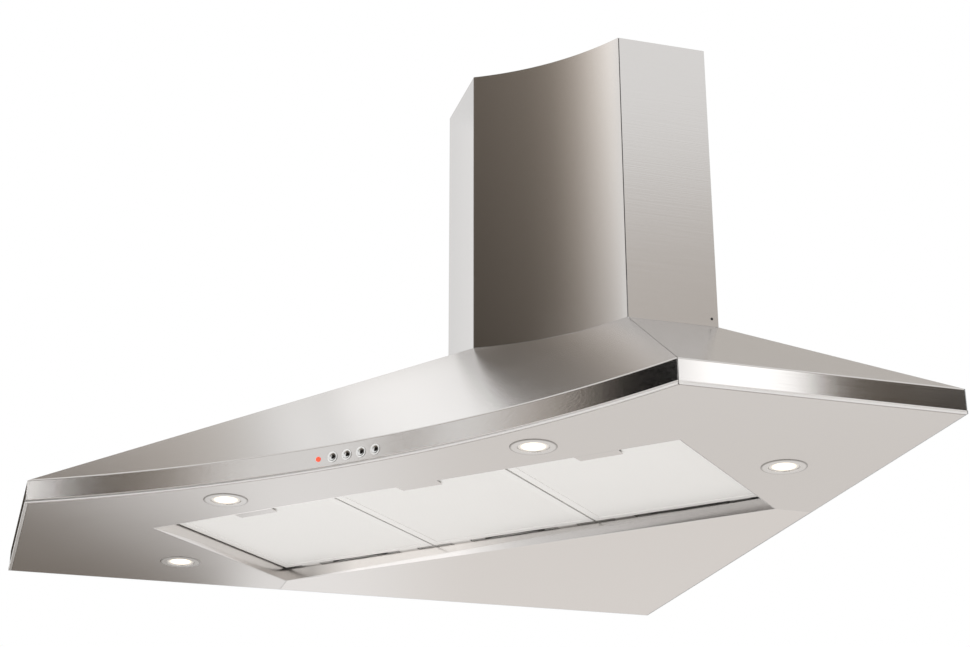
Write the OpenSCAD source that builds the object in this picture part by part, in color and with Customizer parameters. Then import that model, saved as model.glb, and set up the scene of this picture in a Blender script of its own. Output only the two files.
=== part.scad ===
// Corner range hood: canopy, chimney, blower, grease filters, lamps and push buttons.
// The origin is the vertical line where the two walls meet, at the height of the underside.
// The walls are the planes x = 0 and y = 0, and the hood lies at x > 0, y < 0, z > 0.
// Most pieces are drawn in the hood's own middle frame, with X across and Y towards the corner.

/* [Canopy] */
// Length of the canopy along each wall
wall_side = 1000; // [900:1:1100]
// Depth of the end faces that stand square to the walls
end_side = 353; // [320:1:400]
// Hollow of the concave front edge
front_hollow = 70; // [40:1:90]
// Height of the bright hem below the band
hem_h = 4.3; // [3:0.1:6]
// How far the hem stands proud of the band
hem_out = 1; // [0.5:0.1:2]
// Height of the band's top edge above the underside
band_h = 30.4; // [28:0.1:45]
// Height at which the chimney stands on the canopy
slope_top = 368; // [350:1:420]
// Thickness of the steel sheet
sheet_t = 1.2; // [0.8:0.1:1.5]
// Width of the dark groove between hem and underside
groove_w = 2.5; // [1.5:0.1:4]

/* [Chimney] */
// Length of the chimney along each wall
chimney_side = 334; // [320:1:360]
// Depth of the chimney's end faces
chimney_end = 148; // [135:1:160]
// Hollow of the chimney's concave front
chimney_hollow = 19; // [10:1:30]
// Height of the chimney's top above the underside
total_h = 852; // [800:1:950]
// Gap between the two chimney sections
telescope_gap = 1; // [0.5:0.1:2]
// How far the upper section slides up
telescope_travel = 350; // [200:1:400]

/* [Filters] */
// Width of the filter opening
opening_w = 772; // [720:1:800]
// Depth of the filter opening from front to rear
opening_d = 322; // [300:1:330]
// Distance of the opening's front edge behind the middle of the front
opening_in = 104.9; // [100:0.1:110]
// Height of the recess walls below the filters
recess_h = 18; // [14:0.5:22]
// Thickness of a grease filter
filter_t = 9; // [7:0.5:12]
// Width of the rim round the filter mesh
filter_rim = 12; // [9:0.5:16]
// Gap between neighbouring filters
filter_gap = 3; // [2:0.5:5]
// Gap behind the filters that the leaf springs bridge
spring_gap = 6; // [5:0.5:9]
// Width of the pull latch at the front of each filter
latch_w = 66; // [55:1:80]
// Length of the pull latch from front to rear
latch_l = 62; // [50:1:70]
// Travel of the pull latch
latch_travel = 6; // [4:0.5:8]

/* [Lamps] */
// Outer diameter of a lamp bezel
lamp_d = 58; // [50:1:66]
// Diameter of the lamp's lens
lens_d = 38; // [30:1:42]
// Distance of the front lamps from the middle
front_lamp_x = 222.8; // [200:0.1:240]
// Distance of the front lamps behind the front
front_lamp_in = 62.9; // [60:0.1:64]
// Distance of the rear lamps outside the filter opening
rear_lamp_out = 71.6; // [60:0.1:76]
// Distance of the rear lamps in front of the opening's rear edge
rear_lamp_fore = 164.6; // [155:0.1:190]

/* [Controls] */
// Diameter of a push button
button_d = 9.6; // [8:0.1:11]
// Distance between neighbouring buttons
button_pitch = 20.4; // [18:0.1:24]
// Height of the buttons above the underside
button_z = 14.5; // [13:0.1:16]
// Travel of a push button
button_travel = 2.5; // [1.5:0.1:3]
// Diameter of the round indicator
indicator_d = 6.4; // [5:0.1:8]

/* [Blower] */
// Diameter of the duct spigot
spigot_d = 150; // [125:1:160]
// Height of the duct spigot
spigot_h = 46; // [40:1:60]
// Distance of the duct's centre from the corner line
duct_y = 185; // [170:1:190]
// Diameter of the impeller
impeller_d = 150; // [130:1:160]
// Width of the impeller
impeller_w = 112; // [90:1:120]
// Width of the blower housing
scroll_w = 150; // [130:1:160]
// Smallest radius of the scroll wall
scroll_r0 = 92; // [88:1:96]
// Largest radius of the scroll wall
scroll_r1 = 138; // [130:1:142]
// Diameter of the two round inlets
inlet_d = 122; // [110:1:126]
// Diameter of the motor's body
motor_d = 86; // [70:1:100]
// Diameter of the motor's shaft
shaft_d = 8; // [6:0.5:10]

/* [Wall mounts] */
// Diameter of the wall screw holes
wall_hole_d = 8; // [6:0.5:10]
// Sideways distance between the wall holes
wall_hole_dx = 160; // [120:1:180]
// Height between the wall holes
wall_hole_dz = 180; // [140:1:200]
// Distance of the wall holes' middle from the corner
wall_hole_x = 200; // [190:1:210]
// Height of the wall holes' middle
wall_hole_z = 210; // [200:1:225]

/* [Hidden] */
$fn = 64;

// Gap between pieces that are seated on each other, and the overrun of every cut
seat = 0.3;
cut = 1;
r2 = sqrt(2);
arc_steps = 24;

// A place given along the two walls, in the middle frame
function walls(a, b) = [(a + b) / r2, (b - a) / r2];

// Point k of the concave front at an inset d, with its ends mitred to the end faces
function front_half(side, end) = (side - end) / r2;
function front_y(side, end) = -(side + end) / r2;
function front_r(side, end, hollow) = (pow(front_half(side, end), 2) + pow(hollow, 2)) / (2 * hollow);
function mitre(side, end, hollow) =
    let (phi = asin(front_half(side, end) / front_r(side, end, hollow)))
    let (n1 = [sin(phi), cos(phi)])
    let (n2 = [-1, 1] / r2)
    (n1 + n2) / (1 + n1 * n2);
function front_end_angle(side, end, hollow, d) =
    asin((front_half(side, end) + d * mitre(side, end, hollow)[0])
        / (front_r(side, end, hollow) + d));
function front_pt(side, end, hollow, d, share) =
    let (r = front_r(side, end, hollow))
    let (a = front_end_angle(side, end, hollow, d) * share)
    [(r + d) * sin(a), front_y(side, end) + hollow - r + (r + d) * cos(a)];

function band_pt(d, share) = front_pt(wall_side, end_side, front_hollow, d, share);
function flue_pt(d, share) = front_pt(chimney_side, chimney_end, chimney_hollow, d, share);
shares = [for (k = [0 : arc_steps]) 2 * k / arc_steps - 1];

// Plan outlines at an inset d from the front and ends, and w from the walls
function band_outline(d, w) = concat([for (s = shares) band_pt(d, s)],
    [walls(wall_side - d, -w), walls(w, -w), walls(w, -wall_side + d)]);
function flue_outline(d, w) = concat([for (s = shares) flue_pt(d, s)],
    [walls(chimney_side - d, -w), walls(w, -w), walls(w, -chimney_side + d)]);

// Turns the middle frame into the frame of the two walls
module placed() {
    rotate([0, 0, 45]) children();
}

// Closed sheet between two grids of points, given as rows that run upwards
module sheet_between(outer, inner) {
    rows = len(outer);
    cols = len(outer[0]);
    n = rows * cols;
    points = concat([for (r = outer) for (p = r) p], [for (r = inner) for (p = r) p]);
    function quad(a, b, c, d) = [[a, b, c], [a, c, d]];
    faces = concat(
        [for (i = [0 : rows - 2]) for (j = [0 : cols - 2])
            for (f = quad(i * cols + j, (i + 1) * cols + j, (i + 1) * cols + j + 1, i * cols + j + 1)) f],
        [for (i = [0 : rows - 2]) for (j = [0 : cols - 2])
            for (f = quad(n + i * cols + j, n + i * cols + j + 1, n + (i + 1) * cols + j + 1,
                n + (i + 1) * cols + j)) f],
        [for (j = [0 : cols - 2]) for (f = quad(j, j + 1, n + j + 1, n + j)) f],
        [for (j = [0 : cols - 2])
            for (f = quad((rows - 1) * cols + j + 1, (rows - 1) * cols + j, n + (rows - 1) * cols + j,
                n + (rows - 1) * cols + j + 1)) f],
        [for (i = [0 : rows - 2])
            for (f = quad((i + 1) * cols, i * cols, n + i * cols, n + (i + 1) * cols)) f],
        [for (i = [0 : rows - 2])
            for (f = quad(i * cols + cols - 1, (i + 1) * cols + cols - 1, n + (i + 1) * cols + cols - 1,
                n + i * cols + cols - 1)) f]);
    polyhedron(points = points, faces = faces);
}

function lifted(p, z) = [p[0], p[1], z];

// The canopy's skins: hem, band and slope, outside and inside
band_in = hem_out + sheet_t;
plate_front = sheet_t + seat;
function front_row(d, z) = [for (s = shares) lifted(band_pt(d, s), z)];
function flue_row(d, z) = [for (s = shares) lifted(flue_pt(d, s), z)];
seam_dir = [1, 1] / r2;
function side_row(d, z) = [lifted(band_pt(d, 1) + seat * seam_dir, z),
    lifted(walls(wall_side - d, -plate_front), z)];
function side_top_row(d, z) = [lifted(flue_pt(d, 1) + seat * seam_dir, z),
    lifted(walls(chimney_side - d, -plate_front), z)];

// Places along the band for the buttons and the indicator
front_radius = front_r(wall_side, end_side, front_hollow);
front_centre_y = front_y(wall_side, end_side) + front_hollow - front_radius;
function band_angle(x) = asin(x / (front_radius + hem_out));
button_xs = [for (k = [0 : 3]) (k - 1.5) * button_pitch];
indicator_x = -2.5 * button_pitch;

// Puts a piece drawn along -Y from the origin on the band's face at x
module on_band(x) {
    translate([0, front_centre_y, button_z]) rotate([0, 0, -band_angle(x)])
        translate([0, front_radius + hem_out, 0]) children();
}

// A cylinder along Y from y0 to y1
module rod_y(d, y0, y1) {
    translate([0, y0, 0]) rotate([-90, 0, 0]) cylinder(d = d, h = y1 - y0);
}

// A cylinder along X from x0 to x1
module rod_x(d, x0, x1) {
    translate([x0, 0, 0]) rotate([0, 90, 0]) cylinder(d = d, h = x1 - x0);
}

bezel_tube_d = button_d + 2 * (seat + sheet_t);
bezel_flange_d = bezel_tube_d + sheet_t;
bezel_flange_t = 0.8;
bezel_depth = 9;

module canopy_front_skin() {
    color("gainsboro") placed() difference() {
        sheet_between(
            [front_row(0, 0), front_row(0, hem_h), front_row(hem_out, hem_h), front_row(hem_out, band_h),
                flue_row(0, slope_top)],
            [front_row(band_in, 0), front_row(band_in, hem_h / 2), front_row(band_in, hem_h),
                front_row(band_in, band_h), flue_row(sheet_t, slope_top)]);
        for (x = button_xs) on_band(x) rod_y(bezel_tube_d + 2 * seat, -cut, sheet_t + cut);
        on_band(indicator_x) rod_y(indicator_d + 2 * seat, -cut, sheet_t + cut);
    }
}

module side_skin() {
    sheet_between(
        [side_row(0, 0), side_row(0, hem_h), side_row(hem_out, hem_h), side_row(hem_out, band_h),
            side_top_row(0, slope_top)],
        [side_row(band_in, 0), side_row(band_in, hem_h / 2), side_row(band_in, hem_h),
            side_row(band_in, band_h), side_top_row(sheet_t, slope_top)]);
}

module canopy_left_skin() {
    color("silver") placed() mirror([1, 0, 0]) side_skin();
}

module canopy_right_skin() {
    color("silver") placed() side_skin();
}

// Wall plate in the plane of one wall, with its screw holes, drawn along +X from the corner
module wall_plate(start) {
    difference() {
        rotate([90, 0, 0]) linear_extrude(height = sheet_t)
            polygon([[start, 0], [wall_side, 0], [wall_side, hem_h], [wall_side - hem_out, hem_h],
                [wall_side - hem_out, band_h], [chimney_side, slope_top], [start, slope_top]]);
        for (sx = [-1, 1]) for (sz = [-1, 1])
            translate([wall_hole_x + sx * wall_hole_dx / 2, 0, wall_hole_z + sz * wall_hole_dz / 2])
                rod_y(wall_hole_d, -sheet_t - cut, cut);
    }
}

module back_plate_right() {
    color("lightgray") wall_plate(sheet_t + seat);
}

module back_plate_left() {
    color("lightgray") rotate([0, 0, -90]) mirror([0, 1, 0]) wall_plate(0);
}

// The underside: groove inside the hem, a turned-up rim, and the opening for the filters
rim_h = 7;
panel_in = band_in + groove_w;
opening_half = opening_w / 2;
opening_front = -front_y(wall_side, end_side) - front_hollow - opening_in;
opening_rear = opening_front - opening_d;
seam_at = (opening_half + opening_rear) / r2;
front_lamp_y = front_centre_y + sqrt(pow(front_radius, 2) - pow(front_lamp_x, 2)) + front_lamp_in;
rear_lamp_x = opening_half + rear_lamp_out;
rear_lamp_y = -opening_rear - rear_lamp_fore;
lamp_places = [[-front_lamp_x, front_lamp_y], [front_lamp_x, front_lamp_y],
    [-rear_lamp_x, rear_lamp_y], [rear_lamp_x, rear_lamp_y]];
bezel_lip = 2;
lamp_hole_d = lamp_d - 2 * bezel_lip;

module opening_block(grow, z0, z1) {
    translate([-opening_half - grow, -opening_front - grow, z0])
        cube([opening_w + 2 * grow, opening_d + 2 * grow, z1 - z0]);
}

// The region of the rear sheet, out to the seams and a share of the gap there
module rear_region(gap) {
    intersection() {
        rotate([0, 0, -45]) translate([0, -seam_at + gap, 0]) square([seam_at - gap, seam_at - gap]);
        translate([-wall_side, -opening_rear + gap]) square([2 * wall_side, opening_rear]);
    }
}

module underside_blank(z1) {
    linear_extrude(height = z1) polygon(band_outline(panel_in, plate_front));
}

module underside_panel() {
    color("lightgray") placed() difference() {
        union() {
            underside_blank(sheet_t);
            linear_extrude(height = rim_h) difference() {
                polygon(band_outline(panel_in, plate_front));
                polygon(band_outline(panel_in + sheet_t, plate_front + sheet_t));
            }
            translate([0, 0, rim_h - sheet_t]) linear_extrude(height = sheet_t) difference() {
                polygon(band_outline(band_in + seat, plate_front));
                polygon(band_outline(panel_in + sheet_t, plate_front + sheet_t));
            }
        }
        opening_block(seat, -cut, rim_h + cut);
        translate([0, 0, -cut]) linear_extrude(height = rim_h + 2 * cut) rear_region(0);
        for (p = lamp_places)
            translate([p[0], p[1], -cut]) cylinder(d = lamp_hole_d, h = sheet_t + 2 * cut);
    }
}

module underside_rear_panel() {
    color("gainsboro") placed() {
        linear_extrude(height = sheet_t) intersection() {
            polygon(band_outline(panel_in, plate_front));
            rear_region(seat);
        }
        translate([0, 0, sheet_t]) linear_extrude(height = rim_h - sheet_t) intersection() {
            difference() {
                polygon(band_outline(panel_in, plate_front));
                polygon(band_outline(panel_in + sheet_t, plate_front + sheet_t));
            }
            rear_region(seat);
        }
    }
}

// Frame of the recess: four walls, a flange on the panel, and the ledge behind the filters
frame_flange = 14;
frame_h = recess_h + filter_t + sheet_t;
ledge_w = 12;
tongue_t = 1;
filter_z = recess_h + seat;
filter_front = opening_front - sheet_t - latch_travel;
filter_rear = opening_rear + sheet_t + spring_gap;
filter_w = (opening_w - 2 * sheet_t - 4 * filter_gap) / 3;
filter_d = filter_front - filter_rear;
filter_step = filter_w + filter_gap;
stud_d = 4;
nut_d = 8;
nut_h = 3.2;
frame_nut_places = concat(
    [for (x = [-1, 0, 1]) [x * opening_w / 3, -opening_front - frame_flange / 2]],
    [for (x = [-1, 1]) for (y = [1, 2])
        [x * (opening_half + frame_flange / 2), -opening_rear - y * opening_d / 3]]);

module filter_recess_frame() {
    color("silver") placed() {
        difference() {
            union() {
                opening_block(0, 0, frame_h);
                translate([0, 0, sheet_t]) intersection() {
                    opening_block(frame_flange, 0, sheet_t);
                    linear_extrude(height = sheet_t)
                        polygon(band_outline(panel_in + sheet_t + seat, plate_front + sheet_t + seat));
                }
            }
            opening_block(-sheet_t, -cut, frame_h + cut);
            translate([-opening_half + sheet_t, -opening_rear - sheet_t - cut, recess_h])
                cube([opening_w - 2 * sheet_t, sheet_t + 2 * cut, filter_t + cut + sheet_t]);
            for (p = frame_nut_places) translate([p[0], p[1], 0]) cylinder(d = stud_d, h = rim_h);
        }
        translate([-opening_half + sheet_t, -opening_rear, recess_h - sheet_t])
            cube([opening_w - 2 * sheet_t, ledge_w, sheet_t]);
    }
}

// Weld studs and their nuts hold the frame's flange down on the panel
module frame_nuts() {
    color("dimgray") placed() for (p = frame_nut_places) translate([p[0], p[1], 0]) {
        translate([0, 0, sheet_t]) cylinder(d = stud_d - seat, h = nut_h + 2 * sheet_t);
        translate([0, 0, 2 * sheet_t]) cylinder(d = nut_d, h = nut_h, $fn = 6);
    }
}

// One grease filter: aluminium frame with two rear tongues, mesh pad and pull latch
mesh_in = 0.8;
tongue_w = 30;
tongue_l = spring_gap + sheet_t + ledge_w / 2;
latch_t = 1.5;
latch_taper_share = 0.06;

module filter_frame(x) {
    color("gainsboro") placed() translate([x, 0, filter_z]) {
        difference() {
            translate([-filter_w / 2, -filter_front, 0]) cube([filter_w, filter_d, filter_t]);
            translate([-filter_w / 2 + filter_rim, -filter_front + filter_rim, -cut])
                cube([filter_w - 2 * filter_rim, filter_d - 2 * filter_rim, filter_t + 2 * cut]);
        }
        for (s = [-1, 1]) translate([s * filter_w / 3 - tongue_w / 2, -filter_rear - cut, 0])
            cube([tongue_w, tongue_l + cut, tongue_t]);
    }
}

module filter_mesh(x) {
    color("whitesmoke") placed() translate([x, 0, filter_z + mesh_in])
        translate([-filter_w / 2 + filter_rim, -filter_front + filter_rim, 0])
            cube([filter_w - 2 * filter_rim, filter_d - 2 * filter_rim, filter_t - 2 * mesh_in]);
}

module filter_latch(x) {
    color("lightgray") placed()
        translate([x, -filter_front - latch_travel + seat, filter_z - latch_t - seat])
        linear_extrude(height = latch_t)
            polygon([[-latch_w / 2, 0], [latch_w / 2, 0],
                [latch_w * (1 / 2 - latch_taper_share), latch_l],
                [-latch_w * (1 / 2 - latch_taper_share), latch_l]]);
}

// Bowed leaf springs on the recess frame's ledge, one behind the middle of each filter
leaf_w = 96;
leaf_t = 0.6;
leaf_h = 7;
leaf_foot = 6;
leaf_steps = 12;
leaf_rise = spring_gap + sheet_t - leaf_t - seat;
function leaf_pt(k, off) = [leaf_w * (k / leaf_steps - 1 / 2),
    -leaf_rise * sin(180 * k / leaf_steps) - off];

module leaf_spring(x) {
    translate([x, -opening_rear, recess_h + seat]) linear_extrude(height = leaf_h) {
        polygon(concat([for (k = [0 : leaf_steps]) leaf_pt(k, 0)],
            [for (k = [leaf_steps : -1 : 0]) leaf_pt(k, leaf_t)]));
        for (s = [-1, 1])
            translate([s * (leaf_w / 2 + leaf_foot / 2) - leaf_foot / 2 - seat, -leaf_t])
                square([leaf_foot + 2 * seat, leaf_t]);
    }
}

module filter_leaf_springs() {
    color("gray") placed() for (k = [-1 : 1]) leaf_spring(k * filter_step);
}

// Lamps: bezel under the panel, lens in the bezel, and a can above the panel
bezel_proud = 0.8;
lens_t = 2.5;
can_h = 34;
can_flange_d = lamp_d + frame_flange;

module lamp_bezel(p) {
    color("gainsboro") placed() translate([p[0], p[1], 0]) difference() {
        union() {
            cylinder(d = lamp_hole_d - 2 * seat, h = sheet_t + lens_t);
            translate([0, 0, -bezel_proud])
                cylinder(d1 = lamp_d - 2 * bezel_proud, d2 = lamp_d, h = bezel_proud);
        }
        translate([0, 0, -bezel_proud - cut])
            cylinder(d = lens_d + 2 * seat, h = sheet_t + lens_t + bezel_proud + 2 * cut);
    }
}

module lamp_lens(p) {
    color("lightyellow") placed() translate([p[0], p[1], seat]) cylinder(d = lens_d, h = lens_t);
}

module lamp_housings() {
    color("silver") placed() for (p = lamp_places) translate([p[0], p[1], sheet_t]) difference() {
        union() {
            cylinder(d = can_flange_d, h = sheet_t);
            cylinder(d = lamp_hole_d + 2 * sheet_t, h = can_h);
        }
        translate([0, 0, -cut]) cylinder(d = lamp_hole_d, h = can_h - sheet_t + cut);
    }
}

// Controls: bezels through the band, the box with the switches behind it, and the indicator
box_w = 6 * button_pitch + button_d;
box_h = 20;
box_d = 24;
box_front = bezel_depth + seat;
box_lift = sheet_t + seat;
cap_proud = 3.4;
switch_gap = button_travel + seat;

module button_bezels() {
    color("dimgray") placed() for (x = button_xs) on_band(x) difference() {
        union() {
            rod_y(bezel_flange_d, -bezel_flange_t - seat, -seat);
            rod_y(bezel_tube_d, -seat, bezel_depth);
        }
        rod_y(button_d + 2 * seat, -bezel_flange_t - cut, bezel_depth + cut);
    }
}

module push_button(x) {
    color("lightgray") placed() on_band(x) {
        rod_y(button_d, -cap_proud * 2 / 3, bezel_depth - switch_gap);
        translate([0, -cap_proud * 2 / 3, 0]) rotate([90, 0, 0])
            cylinder(d1 = button_d, d2 = button_d * 2 / 3, h = cap_proud / 3);
    }
}

module indicator_lens() {
    color("orangered") placed() on_band(indicator_x) rod_y(indicator_d, -bezel_flange_t, bezel_depth);
}

module control_box() {
    color("dimgray") placed() on_band(0)
        translate([-box_w / 2, box_front, -box_h / 2 + box_lift]) cube([box_w, box_d, box_h]);
}

// Top plate that closes the canopy under the chimney and carries the blower
duct_hole_d = spigot_d - 2 * sheet_t;
module canopy_top_plate() {
    color("silver") placed() translate([0, 0, slope_top - sheet_t]) difference() {
        linear_extrude(height = sheet_t) polygon(flue_outline(2 * sheet_t + seat, plate_front));
        translate([0, -duct_y, -cut]) cylinder(d = duct_hole_d, h = sheet_t + 2 * cut);
        translate([gland_x, -duct_y, -cut]) cylinder(d = gland_d + 2 * seat, h = sheet_t + 2 * cut);
        for (p = blower_bolts) translate([p[0], p[1], -cut])
            cylinder(d = bolt_d + 2 * seat, h = sheet_t + 2 * cut);
    }
}

// Blower: scroll wall, two side plates with round inlets, and a flange under the top plate
tongue_angle = 70;
scroll_steps = 40;
outlet_in = scroll_r0 * cos(tongue_angle);
scroll_y = duct_y + (outlet_in + scroll_r1) / 2;
scroll_drop = 171;
scroll_z = slope_top - sheet_t - scroll_drop;
function scroll_angle(k) = tongue_angle + (360 - tongue_angle) * k / scroll_steps;
function scroll_r(k) = scroll_r0 + (scroll_r1 - scroll_r0) * k / scroll_steps;
function scroll_pt(k, grow) = (scroll_r(k) + grow) * [cos(scroll_angle(k)), sin(scroll_angle(k))];
outlet_top = scroll_drop - sheet_t;
scroll_inside = concat([for (k = [0 : scroll_steps]) scroll_pt(k, 0)],
    [[scroll_r1, outlet_top + cut], [outlet_in, outlet_top + cut]]);
scroll_outside = concat([[outlet_in - sheet_t, scroll_r0 * sin(tongue_angle) + 2 * sheet_t]],
    [for (k = [1 : scroll_steps]) scroll_pt(k, sheet_t)],
    [[scroll_r1 + sheet_t, outlet_top], [outlet_in - sheet_t, outlet_top]]);
bolt_d = 5;
flange_w = 16;
bolt_share = 0.45;
blower_bolts = [for (sx = [-1, 1]) for (sy = [-1, 1])
    [sx * (scroll_w / 2 + flange_w / 2 + sheet_t), -duct_y + sy * (scroll_r1 - outlet_in) * bolt_share]];

// Draws a profile, given as [towards the corner, up], across the hood from x0 to x1
module across(x0, x1) {
    translate([x0, -scroll_y, scroll_z]) rotate([90, 0, 90])
        linear_extrude(height = x1 - x0) children();
}

module blower_scroll() {
    color("gray") placed() {
        across(-scroll_w / 2, scroll_w / 2) difference() {
            polygon(scroll_outside);
            polygon(scroll_inside);
        }
        translate([0, 0, slope_top - 2 * sheet_t]) difference() {
            translate([-scroll_w / 2 - flange_w - sheet_t, -scroll_y + outlet_in - sheet_t, 0])
                cube([scroll_w + 2 * (flange_w + sheet_t), scroll_r1 - outlet_in + 2 * sheet_t, sheet_t]);
            translate([-scroll_w / 2, -scroll_y + outlet_in, -cut])
                cube([scroll_w, scroll_r1 - outlet_in, sheet_t + 2 * cut]);
            for (p = blower_bolts) translate([p[0], p[1], -cut])
                cylinder(d = bolt_d + 2 * seat, h = sheet_t + 2 * cut);
        }
    }
}

module blower_side(x0) {
    difference() {
        across(x0, x0 + sheet_t) polygon(scroll_outside);
        translate([0, -scroll_y, scroll_z]) rod_x(inlet_d, x0 - cut, x0 + sheet_t + cut);
    }
}

module blower_side_left() {
    color("darkgray") placed() blower_side(-scroll_w / 2 - sheet_t);
}

module blower_side_right() {
    color("darkgray") placed() blower_side(scroll_w / 2);
}

module blower_screws() {
    color("dimgray") placed() for (p = blower_bolts) translate([p[0], p[1], 0]) {
        translate([0, 0, slope_top]) cylinder(d = 2 * bolt_d, h = bolt_d / 2);
        translate([0, 0, slope_top - 2 * sheet_t - bolt_d])
            cylinder(d = bolt_d, h = 2 * sheet_t + bolt_d);
    }
}

// Motor, its three-armed bracket on the left inlet, shaft and double-sided impeller
motor_face = 10;
boss_l = 2;
bearing_gap = 0.05;
hub_d = 26;
hub_l = 20;
blades = 24;
blade_l = 11;
blade_t = 1.2;
blade_turn = 25;
ring_t = 2;
arm_w = 16;
bracket_t = 2;
bracket_lap = 10;
bracket_r = inlet_d / 2 + bracket_lap;
motor_back = scroll_w / 2 + sheet_t;

module motor() {
    color("silver") placed() translate([0, -scroll_y, scroll_z]) difference() {
        union() {
            rod_x(motor_d, -motor_back + seat, -motor_face);
            rod_x(motor_d / 3, -motor_face - cut, -motor_face + boss_l);
        }
        rod_x(shaft_d + 2 * bearing_gap, -motor_back - cut, cut);
    }
}

module motor_bracket() {
    color("dimgray") placed() translate([0, -scroll_y, scroll_z]) difference() {
        union() {
            rod_x(motor_d / 2, -motor_back - bracket_t, -motor_back);
            for (k = [0 : 2]) rotate([k * 120, 0, 0])
                translate([-motor_back - bracket_t, -arm_w / 2, 0])
                    cube([bracket_t, arm_w, bracket_r]);
        }
        rod_x(shaft_d + 2 * cut, -motor_back - bracket_t - cut, -motor_back + cut);
    }
}

module motor_shaft() {
    color("gray") placed() translate([0, -scroll_y, scroll_z])
        rod_x(shaft_d, -motor_back + bracket_t, hub_l / 2 + cut);
}

module impeller() {
    color("dimgray") placed() translate([0, -scroll_y, scroll_z]) {
        difference() {
            union() {
                rod_x(impeller_d - 2 * seat, -ring_t / 2, ring_t / 2);
                rod_x(hub_d, -hub_l / 4, hub_l / 2);
            }
            rod_x(shaft_d, -hub_l, hub_l);
        }
        for (s = [-1, 1]) difference() {
            translate([s * (impeller_w - ring_t) / 2, 0, 0]) rod_x(impeller_d, -ring_t / 2, ring_t / 2);
            rod_x(impeller_d - 2 * blade_l, -impeller_w, impeller_w);
        }
        for (k = [0 : blades - 1]) rotate([360 * k / blades, 0, 0])
            translate([-impeller_w / 2 + cut, 0, impeller_d / 2 - blade_l]) rotate([blade_turn, 0, 0])
                translate([0, -blade_t / 2, 0]) cube([impeller_w - 2 * cut, blade_t, blade_l]);
    }
}

// Duct spigot with two damper flaps on one pin
pin_d = 3;
pin_play = 0.1;
knuckle_d = 6;
flap_t = 1;
damper_share = 0.4;
damper_z = slope_top + spigot_h * damper_share;
spigot_r_in = spigot_d / 2 - sheet_t;
flap_play = 1.2;
flap_r = spigot_r_in - flap_play;
knuckle_w = flap_r / 4;
knuckle_step = 3.2 * knuckle_w;

module outlet_spigot() {
    color("silver") placed() translate([0, -duct_y, 0]) difference() {
        union() {
            translate([0, 0, slope_top]) cylinder(d = spigot_d, h = spigot_h);
            translate([0, 0, slope_top]) cylinder(d = spigot_d + flange_w / 2, h = sheet_t);
        }
        translate([0, 0, slope_top - cut]) cylinder(r = spigot_r_in, h = spigot_h + 2 * cut);
        translate([0, 0, damper_z]) rod_x(pin_d + 2 * seat, -spigot_d, spigot_d);
    }
}

module damper_pin() {
    color("gray") placed() translate([0, -duct_y, damper_z]) rod_x(pin_d, -spigot_d / 2, spigot_d / 2);
}

// A flap drawn towards +Y: a half disc clear of the pin, and two knuckles round it
module damper_flap() {
    difference() {
        union() {
            intersection() {
                translate([0, 0, -flap_t / 2]) cylinder(r = flap_r, h = flap_t);
                translate([-flap_r, knuckle_d / 2 + seat, -flap_t]) cube([2 * flap_r, flap_r, 2 * flap_t]);
            }
            for (x = [knuckle_w - flap_r, knuckle_w - flap_r + knuckle_step]) {
                rod_x(knuckle_d, x, x + knuckle_w);
                translate([x, 0, -flap_t / 2]) cube([knuckle_w, knuckle_d, flap_t]);
            }
        }
        rod_x(pin_d + 2 * pin_play, -flap_r, flap_r);
    }
}

module damper_flap_rear() {
    color("dimgray") placed() translate([0, -duct_y, damper_z]) damper_flap();
}

module damper_flap_front() {
    color("dimgray") placed() translate([0, -duct_y, damper_z]) rotate([0, 0, 180]) damper_flap();
}

// Electrical pieces: junction box and gland, capacitor and lamp transformer
junction = [32, 80, 60];
gland_d = 16;
gland_up = 12;
gland_l = flange_w + gland_up;
gland_bore = 7;
gland_floor = 2;
capacitor_d = 30;
capacitor_l = 58;
transformer = [110, 44, 30];
wall_clear = 12;
junction_x = scroll_w / 2 + sheet_t + seat;
gland_x = junction_x + junction[0] - gland_d / 2;

module junction_box() {
    color("whitesmoke") placed()
        translate([junction_x, -duct_y - junction[1] / 2, slope_top - flange_w - junction[2]])
            cube(junction);
}

// The gland stands on the junction box and comes up through the top plate
module cable_gland() {
    color("dimgray") placed() translate([gland_x, -duct_y, slope_top - flange_w]) difference() {
        cylinder(d = gland_d, h = gland_l);
        translate([0, 0, gland_floor]) cylinder(d = gland_bore, h = gland_l - gland_floor + cut);
    }
}

module capacitor() {
    color("whitesmoke") placed()
        translate([-junction_x - capacitor_d / 2, -duct_y, slope_top - flange_w - capacitor_l])
            cylinder(d = capacitor_d, h = capacitor_l);
}

module lamp_transformer() {
    color("whitesmoke") placed()
        translate([-transformer[0] / 2, -opening_rear / 2 - transformer[1] / 2 - wall_clear, sheet_t + seat])
            cube(transformer);
}

// Chimney sections: folded sheets open at the walls, with a flange along each wall
return_w = 18;
function flue_inside(d, w) =
    let (face = chimney_side - d - sheet_t)
    let (lip = chimney_side - d - return_w)
    concat([for (s = shares) flue_pt(d + sheet_t, s)],
        [walls(face, -w - sheet_t), walls(lip, -w - sheet_t), walls(lip, cut), walls(-cut, cut),
            walls(-cut, -lip), walls(w + sheet_t, -lip), walls(w + sheet_t, -face)]);

module flue_sheet(d, w, z0, z1) {
    translate([0, 0, z0]) linear_extrude(height = z1 - z0) difference() {
        polygon(flue_outline(d, w));
        polygon(flue_inside(d, w));
    }
}

upper_in = sheet_t + telescope_gap;
flue_z = slope_top + seat;
upper_floor = spigot_h + flange_w;
upper_z0 = slope_top + upper_floor;
upper_top = total_h - seat;
screw_up = 12.4;
screw_in = 10.6;
screw_d = 4;

module chimney_lower() {
    color("silver") placed() difference() {
        flue_sheet(0, 0, flue_z, total_h);
        for (m = [0, 1]) mirror([m, 0, 0]) chimney_screw_place()
            rod_x(screw_d + 2 * seat, -return_w, return_w);
    }
}

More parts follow.
